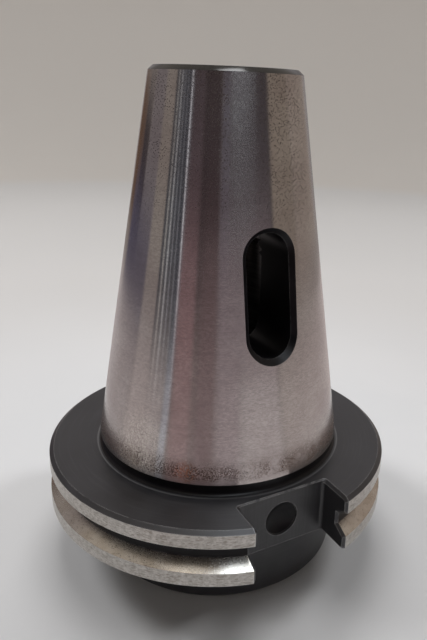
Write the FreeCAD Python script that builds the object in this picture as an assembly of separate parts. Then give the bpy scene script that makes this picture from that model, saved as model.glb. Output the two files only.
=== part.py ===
import FreeCAD, Part
import math
import os

from FreeCAD import Vector

# Millimetres. The origin is the middle of the nose face, and +Z runs up the axis to the small end.

# Shank: a steep taper of seven in twenty-four, largest at the gage line
GAGE_DIAMETER = 69.85
STEEP_TAPER = 7 / 24
SHANK_LENGTH = 101.6
SMALL_END_CHAMFER = 1.2

# Relief neck between the gage line and the flange
NECK_STEP = 0.6
NECK_LEAD = 0.35
NECK_FILLET = 1.1

# Flange: its two faces and the middle of its groove are set from the gage line
FLANGE_DIAMETER = 98.425
FLANGE_BACK_GAP = 3.175
FLANGE_FRONT_GAP = 19.05
BEVEL_ALONG = 0.85
BEVEL_ACROSS = 1.2

# Gripper groove in the flange's rim
GROOVE_GAP = 11.113
GROOVE_MOUTH = 7.03
GROOVE_FLAT = 3.0
GROOVE_ANGLE = 60.0

# Nose: a short plain collar under the flange
NOSE_DIAMETER = 69.85
NOSE_GAP = 34.925
NOSE_CHAMFER = 1.4
NOSE_FILLET = 1.5

# Two drive key slots across the flange, opposite each other, their floors clear of the neck and the nose
KEY_WIDTH = 25.91
KEY_FLOOR_CLEARANCE = 2.125
KEY_CORNER_RADIUS = 1.0
KEY_WALL_BREAK = 0.8
KEY_FLOOR_BREAK = 0.3

# Orientation dimple in the floor of one key slot
DIMPLE_DIAMETER = 9.4
DIMPLE_WALL = 0.4

# Point of the drills that end the dimple and the tang's bore
DRILL_POINT_ANGLE = 118.0

# Self-holding taper socket, number four: its gage plane lies in front of the short nose
SOCKET_GAGE_DIAMETER = 31.267
SOCKET_TAPER = 0.62326 / 12
SOCKET_MOUTH_CHAMFER = 1.0
PLUG_DEPTH = 103.19
TANG_DEPTH = 117.48
TANG_CLEARANCE = 3.0
TANG_BORE_DIAMETER = 25.4

# Drift slot through the shank, with rounded ends and a chamfered mouth on each side
SLOT_FROM_NOSE = 66.0
SLOT_LENGTH = 31.75
SLOT_WIDTH = 12.29
SLOT_CHAMFER = 1.4
SLOT_FROM_GAGE_PLANE = 98.43

# Retention knob hole in the small end: a pilot, then the tapping bore
KNOB_PILOT_DIAMETER = 26.19
KNOB_PILOT_DEPTH = 4.8
KNOB_TAP_DIAMETER = 22.2
KNOB_MOUTH_CHAMFER = 1.5

# How far a cutter overruns the surface that it starts from
OVERRUN = 2.0

# Nearness at which an edge counts as lying in a plane or on the taper
NEAR = 0.01

# Levels on the axis
GAGE_Z = NOSE_GAP
SMALL_END_Z = GAGE_Z + SHANK_LENGTH
BACK_Z = GAGE_Z - FLANGE_BACK_GAP
FRONT_Z = GAGE_Z - FLANGE_FRONT_GAP
GROOVE_Z = GAGE_Z - GROOVE_GAP
SOCKET_GAGE_Z = SLOT_FROM_NOSE - SLOT_FROM_GAGE_PLANE
PLUG_END_Z = SOCKET_GAGE_Z + PLUG_DEPTH
TANG_END_Z = SOCKET_GAGE_Z + TANG_DEPTH + TANG_CLEARANCE

# Radii
GAGE_R = GAGE_DIAMETER / 2
FLANGE_R = FLANGE_DIAMETER / 2
NOSE_R = NOSE_DIAMETER / 2
NECK_R = GAGE_R - NECK_STEP

# Distance of the key slots' floors from the axis
KEY_FLOOR_Y = max(GAGE_R, NOSE_R) + KEY_FLOOR_CLEARANCE


def shank_radius(z):
    """Radius of the steep taper at a level."""
    return GAGE_R - STEEP_TAPER / 2 * (z - GAGE_Z)


def socket_radius(z):
    """Radius of the self-holding taper at a level."""
    return (SOCKET_GAGE_DIAMETER - SOCKET_TAPER * (z - SOCKET_GAGE_Z)) / 2


def revolve(points, arcs=None):
    """Solid turned from (radius, level) points. An arc is keyed by its start and gives its middle point."""
    arcs = arcs or {}
    edges = []
    for i, start in enumerate(points):
        end = points[(i + 1) % len(points)]
        a = Vector(start[0], 0, start[1])
        b = Vector(end[0], 0, end[1])
        if i in arcs:
            edges.append(Part.Arc(a, Vector(arcs[i][0], 0, arcs[i][1]), b).toShape())
        else:
            edges.append(Part.LineSegment(a, b).toShape())
    face = Part.Face(Part.Wire(edges))
    return face.revolve(Vector(0, 0, 0), Vector(0, 0, 1), 360)


def quarter_middle(centre, radius, degrees):
    """Middle point of a fillet arc from its centre."""
    angle = math.radians(degrees)
    return centre[0] + radius * math.cos(angle), centre[1] + radius * math.sin(angle)


def turned_body():
    """Outer form: shank, neck, grooved flange and nose in one turned profile."""
    small_r = shank_radius(SMALL_END_Z)
    chamfer_z = SMALL_END_Z - SMALL_END_CHAMFER
    bevel_r = FLANGE_R - BEVEL_ACROSS
    groove_depth = (GROOVE_MOUTH - GROOVE_FLAT) / 2 / math.tan(math.radians(GROOVE_ANGLE / 2))
    root_r = FLANGE_R - groove_depth
    neck_centre = (NECK_R + NECK_FILLET, BACK_Z + NECK_FILLET)
    nose_centre = (NOSE_R + NOSE_FILLET, FRONT_Z - NOSE_FILLET)
    points = [
        (0, SMALL_END_Z),
        (small_r - SMALL_END_CHAMFER, SMALL_END_Z),
        (shank_radius(chamfer_z), chamfer_z),
        (GAGE_R, GAGE_Z),
        (NECK_R, GAGE_Z - NECK_LEAD),
        (NECK_R, neck_centre[1]),
        (neck_centre[0], BACK_Z),
        (bevel_r, BACK_Z),
        (FLANGE_R, BACK_Z - BEVEL_ALONG),
        (FLANGE_R, GROOVE_Z + GROOVE_MOUTH / 2),
        (root_r, GROOVE_Z + GROOVE_FLAT / 2),
        (root_r, GROOVE_Z - GROOVE_FLAT / 2),
        (FLANGE_R, GROOVE_Z - GROOVE_MOUTH / 2),
        (FLANGE_R, FRONT_Z + BEVEL_ALONG),
        (bevel_r, FRONT_Z),
        (nose_centre[0], FRONT_Z),
        (NOSE_R, nose_centre[1]),
        (NOSE_R, NOSE_CHAMFER),
        (NOSE_R - NOSE_CHAMFER, 0),
        (0, 0),
    ]
    arcs = {
        5: quarter_middle(neck_centre, NECK_FILLET, 225),
        15: quarter_middle(nose_centre, NOSE_FILLET, 135),
    }
    return revolve(points, arcs)


def socket_cutter():
    """Taper socket with its chamfered mouth, then the bore that clears the tang, ending in a drill's cone."""
    mouth_r = socket_radius(0)
    tang_r = TANG_BORE_DIAMETER / 2
    tap_r = KNOB_TAP_DIAMETER / 2
    lead_r = mouth_r + SOCKET_MOUTH_CHAMFER
    point_z = TANG_END_Z + (tang_r - tap_r) / math.tan(math.radians(DRILL_POINT_ANGLE / 2))
    return revolve([
        (0, -OVERRUN),
        (lead_r + OVERRUN, -OVERRUN),
        (lead_r, 0),
        (socket_radius(SOCKET_MOUTH_CHAMFER), SOCKET_MOUTH_CHAMFER),
        (socket_radius(PLUG_END_Z), PLUG_END_Z),
        (tang_r, PLUG_END_Z),
        (tang_r, TANG_END_Z),
        (tap_r, point_z),
        (0, point_z),
    ])


def knob_cutter():
    """Retention knob hole: chamfered mouth, pilot and tapping bore, open into the bore below."""
    pilot_r = KNOB_PILOT_DIAMETER / 2
    tap_r = KNOB_TAP_DIAMETER / 2
    lead_r = pilot_r + KNOB_MOUTH_CHAMFER
    step_z = SMALL_END_Z - KNOB_PILOT_DEPTH
    return revolve([
        (0, SMALL_END_Z + OVERRUN),
        (lead_r + OVERRUN, SMALL_END_Z + OVERRUN),
        (lead_r, SMALL_END_Z),
        (pilot_r, SMALL_END_Z - KNOB_MOUTH_CHAMFER),
        (pilot_r, step_z),
        (tap_r, step_z - (pilot_r - tap_r)),
        (tap_r, TANG_END_Z - OVERRUN),
        (0, TANG_END_Z - OVERRUN),
    ])


def obround_prism(width, z_low, z_high, y_low, y_high):
    """Upright slot shape with round ends, run along Y."""
    r = width / 2
    low = z_low + r
    high = z_high - r
    right_low = Vector(r, y_low, low)
    right_high = Vector(r, y_low, high)
    left_low = Vector(-r, y_low, low)
    left_high = Vector(-r, y_low, high)
    wire = Part.Wire([
        Part.LineSegment(right_low, right_high).toShape(),
        Part.Arc(right_high, Vector(0, y_low, z_high), left_high).toShape(),
        Part.LineSegment(left_high, left_low).toShape(),
        Part.Arc(left_low, Vector(0, y_low, z_low), right_low).toShape(),
    ])
    return Part.Face(wire).extrude(Vector(0, y_high - y_low, 0))


def cut_drift_slot(body):
    """Through slot across the axis, with the mouth edges on the taper chamfered."""
    reach = GAGE_R + OVERRUN
    top_z = SLOT_FROM_NOSE + SLOT_LENGTH
    body = body.cut(obround_prism(SLOT_WIDTH, SLOT_FROM_NOSE, top_z, -reach, reach))
    mouth_edges = []
    for edge in body.Edges:
        box = edge.BoundBox
        in_length = box.ZMin > SLOT_FROM_NOSE - NEAR and box.ZMax < top_z + NEAR
        in_width = box.XLength < SLOT_WIDTH + NEAR
        middle = edge.valueAt((edge.FirstParameter + edge.LastParameter) / 2)
        on_taper = abs(math.hypot(middle.x, middle.y) - shank_radius(middle.z)) < NEAR
        if in_length and in_width and on_taper:
            mouth_edges.append(edge)
    return body.makeChamfer(SLOT_CHAMFER, mouth_edges)


def on_key_wall(box):
    """True for an edge in the plane of a key slot's side wall."""
    return box.XLength < NEAR and abs(abs(box.XMin) - KEY_WIDTH / 2) < NEAR


def on_key_floor(box):
    """True for an edge in the plane of a key slot's floor."""
    return box.YLength < NEAR and abs(abs(box.YMin) - KEY_FLOOR_Y) < NEAR


def cut_key_slots(body):
    """Two opposite slots across the flange: side walls with a broad edge break, floors with a fine one."""
    height = BACK_Z - FRONT_Z
    depth = FLANGE_R + OVERRUN - KEY_FLOOR_Y
    front_corner = Vector(-KEY_WIDTH / 2, -KEY_FLOOR_Y - depth, FRONT_Z)
    rear_corner = Vector(-KEY_WIDTH / 2, KEY_FLOOR_Y, FRONT_Z)
    for corner in (front_corner, rear_corner):
        body = body.cut(Part.makeBox(KEY_WIDTH, depth, height, corner))
    wall_edges = [e for e in body.Edges if on_key_wall(e.BoundBox) and not on_key_floor(e.BoundBox)]
    body = body.makeChamfer(KEY_WALL_BREAK, wall_edges)
    floor_edges = [e for e in body.Edges if on_key_floor(e.BoundBox) and e.BoundBox.ZLength < NEAR]
    body = body.makeChamfer(KEY_FLOOR_BREAK, floor_edges)
    corner_edges = [e for e in body.Edges if on_key_wall(e.BoundBox) and on_key_floor(e.BoundBox)]
    return body.makeFillet(KEY_CORNER_RADIUS, corner_edges)


def dimple_cutter():
    """Short round wall and drill point, sunk into the floor of the slot on the -Y side."""
    r = DIMPLE_DIAMETER / 2
    point = r / math.tan(math.radians(DRILL_POINT_ANGLE / 2))
    centre_z = (BACK_Z + FRONT_Z) / 2
    cutter = revolve([
        (0, -OVERRUN),
        (r, -OVERRUN),
        (r, DIMPLE_WALL),
        (0, DIMPLE_WALL + point),
    ])
    cutter.rotate(Vector(0, 0, 0), Vector(1, 0, 0), -90)
    cutter.translate(Vector(0, -KEY_FLOOR_Y, centre_z))
    return cutter


def adapter_body():
    """The whole part, one piece of steel."""
    body = turned_body().cut(socket_cutter()).cut(knob_cutter())
    body = cut_drift_slot(body)
    body = cut_key_slots(body)
    return body.cut(dimple_cutter())


os.makedirs("parts", exist_ok=True)
solid = adapter_body()
print("valid", solid.isValid(), "solids", len(solid.Solids), "volume", round(solid.Volume, 1), solid.BoundBox)
solid.exportStep("parts/adapter_body.step")
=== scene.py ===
import math

import bmesh
import bpy
import numpy as np
from mathutils import Matrix, Vector


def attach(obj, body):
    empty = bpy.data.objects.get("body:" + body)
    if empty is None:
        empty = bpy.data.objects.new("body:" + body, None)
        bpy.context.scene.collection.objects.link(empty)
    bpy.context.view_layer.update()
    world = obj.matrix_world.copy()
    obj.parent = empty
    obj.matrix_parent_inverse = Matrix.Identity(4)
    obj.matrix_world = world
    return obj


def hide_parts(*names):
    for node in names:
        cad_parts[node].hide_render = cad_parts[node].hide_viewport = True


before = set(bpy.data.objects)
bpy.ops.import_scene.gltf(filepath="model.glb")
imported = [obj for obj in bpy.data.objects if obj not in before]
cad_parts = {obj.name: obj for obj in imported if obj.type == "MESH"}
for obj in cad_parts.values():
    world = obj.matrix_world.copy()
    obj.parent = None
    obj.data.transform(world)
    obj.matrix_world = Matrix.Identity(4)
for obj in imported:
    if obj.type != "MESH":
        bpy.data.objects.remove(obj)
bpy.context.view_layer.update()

scene = bpy.context.scene
scene.view_settings.view_transform = "Standard"

# Camera
# It stands in front of the adapter, a little to the left of the slots and level with the small end.
# Its place, turn and lens come from the outlines of the taper and the flange.
PICTURE_WIDTH = 427
PICTURE_HEIGHT = 640
CAMERA_PLACE = (-0.081439, -0.159834, 0.131971)
CAMERA_AZIMUTH = math.radians(27.0)
CAMERA_YAW = 0.0706
CAMERA_PITCH = 0.2850
CAMERA_ROLL = -0.0407
FOCAL_PIXELS = 655.06
OPTICAL_CENTRE = (266.442, 279.644)
SENSOR_MM = 36.0

heading = CAMERA_YAW + CAMERA_AZIMUTH
forward = Vector((
    math.sin(heading) * math.cos(CAMERA_PITCH),
    math.cos(heading) * math.cos(CAMERA_PITCH),
    -math.sin(CAMERA_PITCH),
))
level_right = Vector((math.cos(heading), -math.sin(heading), 0.0))
level_down = forward.cross(level_right)
right = math.cos(CAMERA_ROLL) * level_right + math.sin(CAMERA_ROLL) * level_down
down = -math.sin(CAMERA_ROLL) * level_right + math.cos(CAMERA_ROLL) * level_down
lens = bpy.data.cameras.new("camera")
lens.sensor_width = SENSOR_MM
lens.lens = FOCAL_PIXELS * SENSOR_MM / PICTURE_HEIGHT
lens.shift_x = (PICTURE_WIDTH / 2 - OPTICAL_CENTRE[0]) / PICTURE_HEIGHT
lens.shift_y = (OPTICAL_CENTRE[1] - PICTURE_HEIGHT / 2) / PICTURE_HEIGHT
lens.clip_start = 0.01
camera = bpy.data.objects.new("camera", lens)
camera.matrix_world = Matrix.Translation(CAMERA_PLACE) @ Matrix((right, -down, -forward)).transposed().to_4x4()
scene.collection.objects.link(camera)
scene.camera = camera

# Finishes of the adapter
# It is one piece of hardened steel. Everything was blackened first, and then the shank, the two rims and
# the groove's lower flank were ground bright. The bores are left as they were bored and tapped.
MM = 0.001


class Reading:
    """A number inside a node tree, which sums, differences, products and comparisons turn into further nodes."""

    def __init__(self, tree, socket):
        self.tree = tree
        self.socket = socket

    def into(self, operation, *others):
        node = self.tree.nodes.new("ShaderNodeMath")
        node.operation = operation
        self.tree.links.new(self.socket, node.inputs[0])
        for place, other in enumerate(others, 1):
            if isinstance(other, Reading):
                self.tree.links.new(other.socket, node.inputs[place])
            else:
                node.inputs[place].default_value = other
        return Reading(self.tree, node.outputs[0])

    def __add__(self, other):
        return self.into("ADD", other)

    def __sub__(self, other):
        return self.into("SUBTRACT", other)

    def __mul__(self, other):
        return self.into("MULTIPLY", other)

    def __truediv__(self, other):
        return self.into("DIVIDE", other)

    def above(self, other):
        return self.into("GREATER_THAN", other)

    def below(self, other):
        return self.into("LESS_THAN", other)

    def ramp(self, low, high):
        """Smooth step from 0 at low to 1 at high."""
        node = self.tree.nodes.new("ShaderNodeMapRange")
        node.interpolation_type = "SMOOTHSTEP"
        node.inputs["From Min"].default_value = low
        node.inputs["From Max"].default_value = high
        self.tree.links.new(self.socket, node.inputs["Value"])
        return Reading(self.tree, node.outputs["Result"])


def put(tree, value, socket):
    """Links a reading or a socket to an input, or writes a plain value there."""
    if isinstance(value, Reading):
        tree.links.new(value.socket, socket)
    elif isinstance(value, bpy.types.NodeSocket):
        tree.links.new(value, socket)
    else:
        socket.default_value = value


def noise(tree, vector, scale, detail=3.0, roughness=0.55):
    node = tree.nodes.new("ShaderNodeTexNoise")
    put(tree, vector, node.inputs["Vector"])
    put(tree, scale, node.inputs["Scale"])
    node.inputs["Detail"].default_value = detail
    node.inputs["Roughness"].default_value = roughness
    return Reading(tree, node.outputs["Fac"])


def blend(tree, share, low, high):
    """Colour that goes from low to high with the share."""
    node = tree.nodes.new("ShaderNodeMix")
    node.data_type = "RGBA"
    put(tree, share, node.inputs["Factor"])
    put(tree, low, node.inputs[6])
    put(tree, high, node.inputs[7])
    return node.outputs[2]


def group_tree(name, inputs, outputs):
    """Shader node group with named sockets, and its input and output nodes."""
    tree = bpy.data.node_groups.new(name, "ShaderNodeTree")
    for socket_name, kind, value in inputs:
        socket = tree.interface.new_socket(socket_name, in_out="INPUT", socket_type=kind)
        if value is not None:
            socket.default_value = value
    for socket_name, kind in outputs:
        tree.interface.new_socket(socket_name, in_out="OUTPUT", socket_type=kind)
    return tree, tree.nodes.new("NodeGroupInput"), tree.nodes.new("NodeGroupOutput")


def use_group(tree, group, values):
    """Places a group in a material, with its own values."""
    node = tree.nodes.new("ShaderNodeGroup")
    node.node_tree = group
    for socket_name, value in values.items():
        put(tree, value, node.inputs[socket_name])
    return node


# Lathe lines run round the axis on cones and cylinders, and in circles on faces.
lathe_lines, lines_in, lines_out = group_tree(
    "lathe lines",
    [("Vector", "NodeSocketVector", None), ("Lines per mm", "NodeSocketFloat", 8.0),
     ("Breaks per mm", "NodeSocketFloat", 0.15)],
    [("Lines", "NodeSocketFloat")],
)
parts = lathe_lines.nodes.new("ShaderNodeSeparateXYZ")
lathe_lines.links.new(lines_in.outputs["Vector"], parts.inputs[0])
x, y, z = (Reading(lathe_lines, parts.outputs[axis]) for axis in "XYZ")
from_axis = (x * x + y * y).into("SQRT")
along = (from_axis + z) * Reading(lathe_lines, lines_in.outputs["Lines per mm"]) / MM
breaks = Reading(lathe_lines, lines_in.outputs["Breaks per mm"])
place = lathe_lines.nodes.new("ShaderNodeCombineXYZ")
put(lathe_lines, x * breaks / MM, place.inputs["X"])
put(lathe_lines, y * breaks / MM, place.inputs["Y"])
put(lathe_lines, along, place.inputs["Z"])
put(lathe_lines, noise(lathe_lines, place.outputs[0], 1.0, 2.0), lines_out.inputs["Lines"])


def lines_at(tree, spot, per_mm, breaks_per_mm):
    """Lathe lines of this closeness, broken this often."""
    values = {"Vector": spot, "Lines per mm": per_mm, "Breaks per mm": breaks_per_mm}
    return Reading(tree, use_group(tree, lathe_lines, values).outputs["Lines"])


# Spots are small dark pits with ragged edges, one at most in each cell.
SPOT_RAGGEDNESS = 0.8
RAGGED_DETAIL = 1.7
SPOT_EDGE_STEEPNESS = 9.0
spots, spots_in, spots_out = group_tree(
    "spots",
    [("Vector", "NodeSocketVector", None), ("Spots per mm", "NodeSocketFloat", 1.2),
     ("Cover", "NodeSocketFloat", 0.3)],
    [("Mask", "NodeSocketFloat")],
)
per_metre = Reading(spots, spots_in.outputs["Spots per mm"]) / MM
cells = spots.nodes.new("ShaderNodeTexVoronoi")
put(spots, spots_in.outputs["Vector"], cells.inputs["Vector"])
put(spots, per_metre, cells.inputs["Scale"])
ragged = noise(spots, spots_in.outputs["Vector"], per_metre * RAGGED_DETAIL, 3.0, 0.7) - 0.5
cover = Reading(spots, spots_in.outputs["Cover"])
spot_height = cover + ragged * SPOT_RAGGEDNESS - Reading(spots, cells.outputs["Distance"])
spot_mask = (spot_height * SPOT_EDGE_STEEPNESS).into("MAXIMUM", 0.0).into("MINIMUM", 1.0)
put(spots, spot_mask, spots_out.inputs["Mask"])


def pits_at(tree, spot, per_mm, cover):
    """Mask of pits, this many to the millimetre, that are larger where the cover is."""
    values = {"Vector": spot, "Spots per mm": per_mm, "Cover": cover}
    return Reading(tree, use_group(tree, spots, values).outputs["Mask"])


# Edge wear, partly painted highlight, shows where the surface turns within a short distance.
edge_wear_and_highlight, wear_and_highlight_in, wear_and_highlight_out = group_tree(
    "edge wear and highlight",
    [("Vector", "NodeSocketVector", None), ("Width", "NodeSocketFloat", 0.3 * MM),
     ("Amount", "NodeSocketFloat", 1.0)],
    [("Mask", "NodeSocketFloat")],
)
rounded = edge_wear_and_highlight.nodes.new("ShaderNodeBevel")
rounded.samples = 6
edge_wear_and_highlight.links.new(wear_and_highlight_in.outputs["Width"], rounded.inputs["Radius"])
plain = edge_wear_and_highlight.nodes.new("ShaderNodeNewGeometry")
same = edge_wear_and_highlight.nodes.new("ShaderNodeVectorMath")
same.operation = "DOT_PRODUCT"
edge_wear_and_highlight.links.new(rounded.outputs["Normal"], same.inputs[0])
edge_wear_and_highlight.links.new(plain.outputs["Normal"], same.inputs[1])
turned = Reading(edge_wear_and_highlight, same.outputs["Value"]).ramp(0.998, 0.95)
uneven = noise(edge_wear_and_highlight, wear_and_highlight_in.outputs["Vector"], 0.5 / MM, 3.0).ramp(0.3, 0.55)
put(edge_wear_and_highlight, turned * uneven * Reading(edge_wear_and_highlight, wear_and_highlight_in.outputs["Amount"]), wear_and_highlight_out.inputs["Mask"])


def worn_and_highlit_edges(tree, spot, width, amount):
    """Mask of the edges that are rubbed, partly as painted highlights, over this width."""
    values = {"Vector": spot, "Width": width, "Amount": amount}
    return Reading(tree, use_group(tree, edge_wear_and_highlight, values).outputs["Mask"])


def new_finish(name, metallic, anisotropy):
    """Material with its tree, shader and object coordinates. Its tangent draws reflections out along the axis."""
    material = bpy.data.materials.new(name)
    material.use_nodes = True
    tree = material.node_tree
    shader = tree.nodes["Principled BSDF"]
    shader.inputs["Metallic"].default_value = metallic
    shader.inputs["Anisotropic"].default_value = anisotropy
    spot = tree.nodes.new("ShaderNodeTexCoord").outputs["Object"]
    if anisotropy:
        split = tree.nodes.new("ShaderNodeSeparateXYZ")
        join = tree.nodes.new("ShaderNodeCombineXYZ")
        join.inputs["Z"].default_value = 100 * MM
        tree.links.new(spot, split.inputs[0])
        tree.links.new(split.outputs["X"], join.inputs["X"])
        tree.links.new(split.outputs["Y"], join.inputs["Y"])
        tree.links.new(join.outputs[0], shader.inputs["Tangent"])
    return material, tree, shader, spot


def bump(tree, shader, height, depth):
    node = tree.nodes.new("ShaderNodeBump")
    node.inputs["Distance"].default_value = depth
    put(tree, height, node.inputs["Height"])
    tree.links.new(node.outputs["Normal"], shader.inputs["Normal"])


# Ground shank: bright, with fine grinding lines, a faint brown bloom, pits near the small end, a band of stains
# just above the gage line, one spot of rust in it and a few dried splashes over it.
ground_steel, tree, shader, spot = new_finish("ground_steel", 1.0, 1.0)
GROUND = (0.575, 0.555, 0.54, 1.0)
GROUND_BLOOM = (0.48, 0.445, 0.435, 1.0)
GROUND_LINE = (0.30, 0.28, 0.275, 1.0)
PIT = (0.06, 0.05, 0.05, 1.0)
STAIN = (0.20, 0.14, 0.115, 1.0)
RUST = (0.46, 0.21, 0.11, 1.0)
RUST_PLACE = (-0.0226, -0.0260, 0.0376)
RUST_REACH_MM = 4.2
DRIED = (0.78, 0.75, 0.68, 1.0)
DRIED_PLACE = (-0.0298, -0.0135, 0.0415)
DRIED_REACH_MM = 13.0
PITTED_LEVELS_MM = (74.0, 118.0)
GAGE_LINE_MM = 34.925


def closeness(place, reach):
    """1 at a place on the shank, 0 beyond a reach in millimetres."""
    node = tree.nodes.new("ShaderNodeVectorMath")
    node.operation = "DISTANCE"
    tree.links.new(spot, node.inputs[0])
    node.inputs[1].default_value = place
    return (Reading(tree, node.outputs["Value"]) / MM).ramp(reach, reach * 0.2)


split = tree.nodes.new("ShaderNodeSeparateXYZ")
tree.links.new(spot, split.inputs[0])
x, level = (Reading(tree, split.outputs[axis]) / MM for axis in "XZ")
grain = lines_at(tree, spot, 3.8, 1.0)
broad_grain = lines_at(tree, spot, 1.1, 0.05)
bloom = noise(tree, spot, 0.05 / MM, 5.0, 0.62).ramp(0.36, 0.64)
colour = blend(tree, bloom, GROUND, GROUND_BLOOM)
line_share = grain.ramp(0.38, 0.62) * 0.32 + broad_grain.ramp(0.45, 0.75) * 0.12
colour = blend(tree, line_share, colour, GROUND_LINE)
near_top = level.ramp(*PITTED_LEVELS_MM)
patches = noise(tree, spot, 0.07 / MM, 3.0).ramp(0.36, 0.60)
above_gage = level - GAGE_LINE_MM
in_band = above_gage.ramp(0.5, 1.6) * above_gage.ramp(8.0, 3.0)
to_the_right = x.ramp(-17.0, -8.0)
splashed = closeness(DRIED_PLACE, DRIED_REACH_MM)
pit_cover = near_top * (patches * 0.10 + to_the_right * 0.09 + 0.14) + in_band * 0.18 + splashed * 0.14 + 0.10
pits = pits_at(tree, spot, 2.1, pit_cover)
drawn_out = noise(tree, spot, 0.16 / MM, 4.0, 0.6).ramp(0.30, 0.54)
speckle = noise(tree, spot, 2.8 / MM, 4.0, 0.8).ramp(0.40, 0.56)
stains = in_band * drawn_out * speckle
colour = blend(tree, stains * 0.8, colour, STAIN)
rust = closeness(RUST_PLACE, RUST_REACH_MM) * noise(tree, spot, 1.8 / MM, 4.0, 0.7).ramp(0.44, 0.56)
colour = blend(tree, rust * 0.8, colour, RUST)
colour = blend(tree, pits * 0.75, colour, PIT)
dried = splashed * noise(tree, spot, 2.2 / MM, 3.0, 0.8).ramp(0.47, 0.57)
colour = blend(tree, dried * 0.7, colour, DRIED)
put(tree, colour, shader.inputs["Base Color"])
put(tree, dried * -0.3 + 1.0, shader.inputs["Metallic"])
put(tree, grain * 0.04 + 0.14 + pits * 0.15 + stains * 0.15, shader.inputs["Roughness"])
bump(tree, shader, grain * 0.3 - pits * 1.0, 0.0015 * MM)

# Ground rims: bright and beige, with fine lines round them and small grey-brown specks.
rim_steel, tree, shader, spot = new_finish("rim_steel", 1.0, 0.6)
RIM_DARK = (0.43, 0.405, 0.37, 1.0)
RIM_PALE = (0.60, 0.575, 0.54, 1.0)
RIM_LINE = (0.30, 0.27, 0.24, 1.0)
RIM_DASH = (0.19, 0.16, 0.13, 1.0)
RIM_EDGE = (0.80, 0.79, 0.77, 1.0)
grain = lines_at(tree, spot, 4.5, 0.5)
dashes = lines_at(tree, spot, 3.4, 0.8)
mottle = noise(tree, spot, 0.8 / MM, 5.0, 0.7)
colour = blend(tree, mottle.ramp(0.34, 0.64), RIM_DARK, RIM_PALE)
colour = blend(tree, grain.ramp(0.42, 0.70) * 0.35, colour, RIM_LINE)
colour = blend(tree, dashes.ramp(0.52, 0.62) * 0.5, colour, RIM_DASH)
# The edges are painted paler: partly wear, partly painted highlight.
colour = blend(tree, worn_and_highlit_edges(tree, spot, 0.3 * MM, 0.8), colour, RIM_EDGE)
put(tree, colour, shader.inputs["Base Color"])
put(tree, mottle * 0.12 + 0.28, shader.inputs["Roughness"])
bump(tree, shader, grain * 0.6 + mottle * 0.5, 0.004 * MM)

# Ground lower flank of the groove: smoother than the rims, because the gripper's fingers polish it.
flank_steel, tree, shader, spot = new_finish("flank_steel", 1.0, 0.8)
FLANK_DARK = (0.58, 0.54, 0.48, 1.0)
FLANK_PALE = (0.68, 0.65, 0.60, 1.0)
FLANK_PIT = (0.10, 0.085, 0.07, 1.0)
grain = lines_at(tree, spot, 4.0, 0.12)
haze = noise(tree, spot, 0.25 / MM, 4.0, 0.6)
colour = blend(tree, haze.ramp(0.35, 0.65), FLANK_DARK, FLANK_PALE)
pits = pits_at(tree, spot, 1.8, 0.26)
colour = blend(tree, pits * 0.75 + grain.ramp(0.6, 0.85) * 0.15, colour, FLANK_PIT)
put(tree, colour, shader.inputs["Base Color"])
put(tree, haze * 0.06 + 0.20 + pits * 0.2, shader.inputs["Roughness"])
bump(tree, shader, grain * 0.5 - pits, 0.002 * MM)

# Black oxide shows a painted highlight line round the flange's face, just past the neck's fillet, and milling marks
# on the key slots' floors.
PAINTED_HIGHLIGHT_LINE_MM = (35.45, 35.65, 35.85, 36.05)
UNDER_FACE_MM = 31.0
KEY_FLOOR_HALF_MM = 13.0
KEY_FLOOR_DEPTHS_MM = (36.9, 37.2)
MARK_GAIN = 2.6
WORN_AND_HIGHLIT_OXIDE = (0.34, 0.335, 0.335, 1.0)


def black_finish(name, dark, light, specular, roughness, wear_and_highlight_amount):
    """Black oxide: a thin blue-black skin on turned and milled steel, rubbed lighter along the edges, partly as
    painted highlights.
    """
    material, tree, shader, spot = new_finish(name, 0.0, 0.0)
    shader.inputs["Specular IOR Level"].default_value = specular
    grain = lines_at(tree, spot, 2.2, 0.06)
    cloud = noise(tree, spot, 0.12 / MM, 4.0, 0.6)
    colour = blend(tree, cloud.ramp(0.3, 0.7), dark, light)
    split = tree.nodes.new("ShaderNodeSeparateXYZ")
    tree.links.new(spot, split.inputs[0])
    x, y, level = (Reading(tree, split.outputs[axis]) / MM for axis in "XYZ")
    radius = (x * x + y * y).into("SQRT")
    line_start, full_start, full_end, line_end = PAINTED_HIGHLIGHT_LINE_MM
    painted_highlight_line = radius.ramp(line_start, full_start) * radius.ramp(line_end, full_end) * level.above(UNDER_FACE_MM)
    floor_start, floor_end = KEY_FLOOR_DEPTHS_MM
    inward = y.into("ABSOLUTE")
    on_key_floor = x.into("ABSOLUTE").below(KEY_FLOOR_HALF_MM) * inward.above(floor_start) * inward.below(floor_end)
    milled = tree.nodes.new("ShaderNodeCombineXYZ")
    put(tree, x * 1.6, milled.inputs["X"])
    put(tree, level * 0.04, milled.inputs["Y"])
    mill_marks = noise(tree, milled.outputs[0], 1.0, 4.0, 0.7).ramp(0.35, 0.75) * on_key_floor
    marks = grain.ramp(0.48, 0.8) * 0.3 + mill_marks * 0.4
    colour = blend(tree, marks, colour, [MARK_GAIN * part for part in light[:3]] + [1.0])
    # Edges, and the ring on the flange's face, turn paler and metallic: partly wear, partly painted highlight.
    wear_and_highlight = worn_and_highlit_edges(tree, spot, 0.42 * MM, wear_and_highlight_amount).into("MAXIMUM", painted_highlight_line * 0.35)
    colour = blend(tree, wear_and_highlight, colour, WORN_AND_HIGHLIT_OXIDE)
    put(tree, colour, shader.inputs["Base Color"])
    put(tree, wear_and_highlight * 0.7, shader.inputs["Metallic"])
    put(tree, cloud * 0.12 + roughness + grain * 0.06, shader.inputs["Roughness"])
    bump(tree, shader, grain + mill_marks, 0.006 * MM)
    return material


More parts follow.
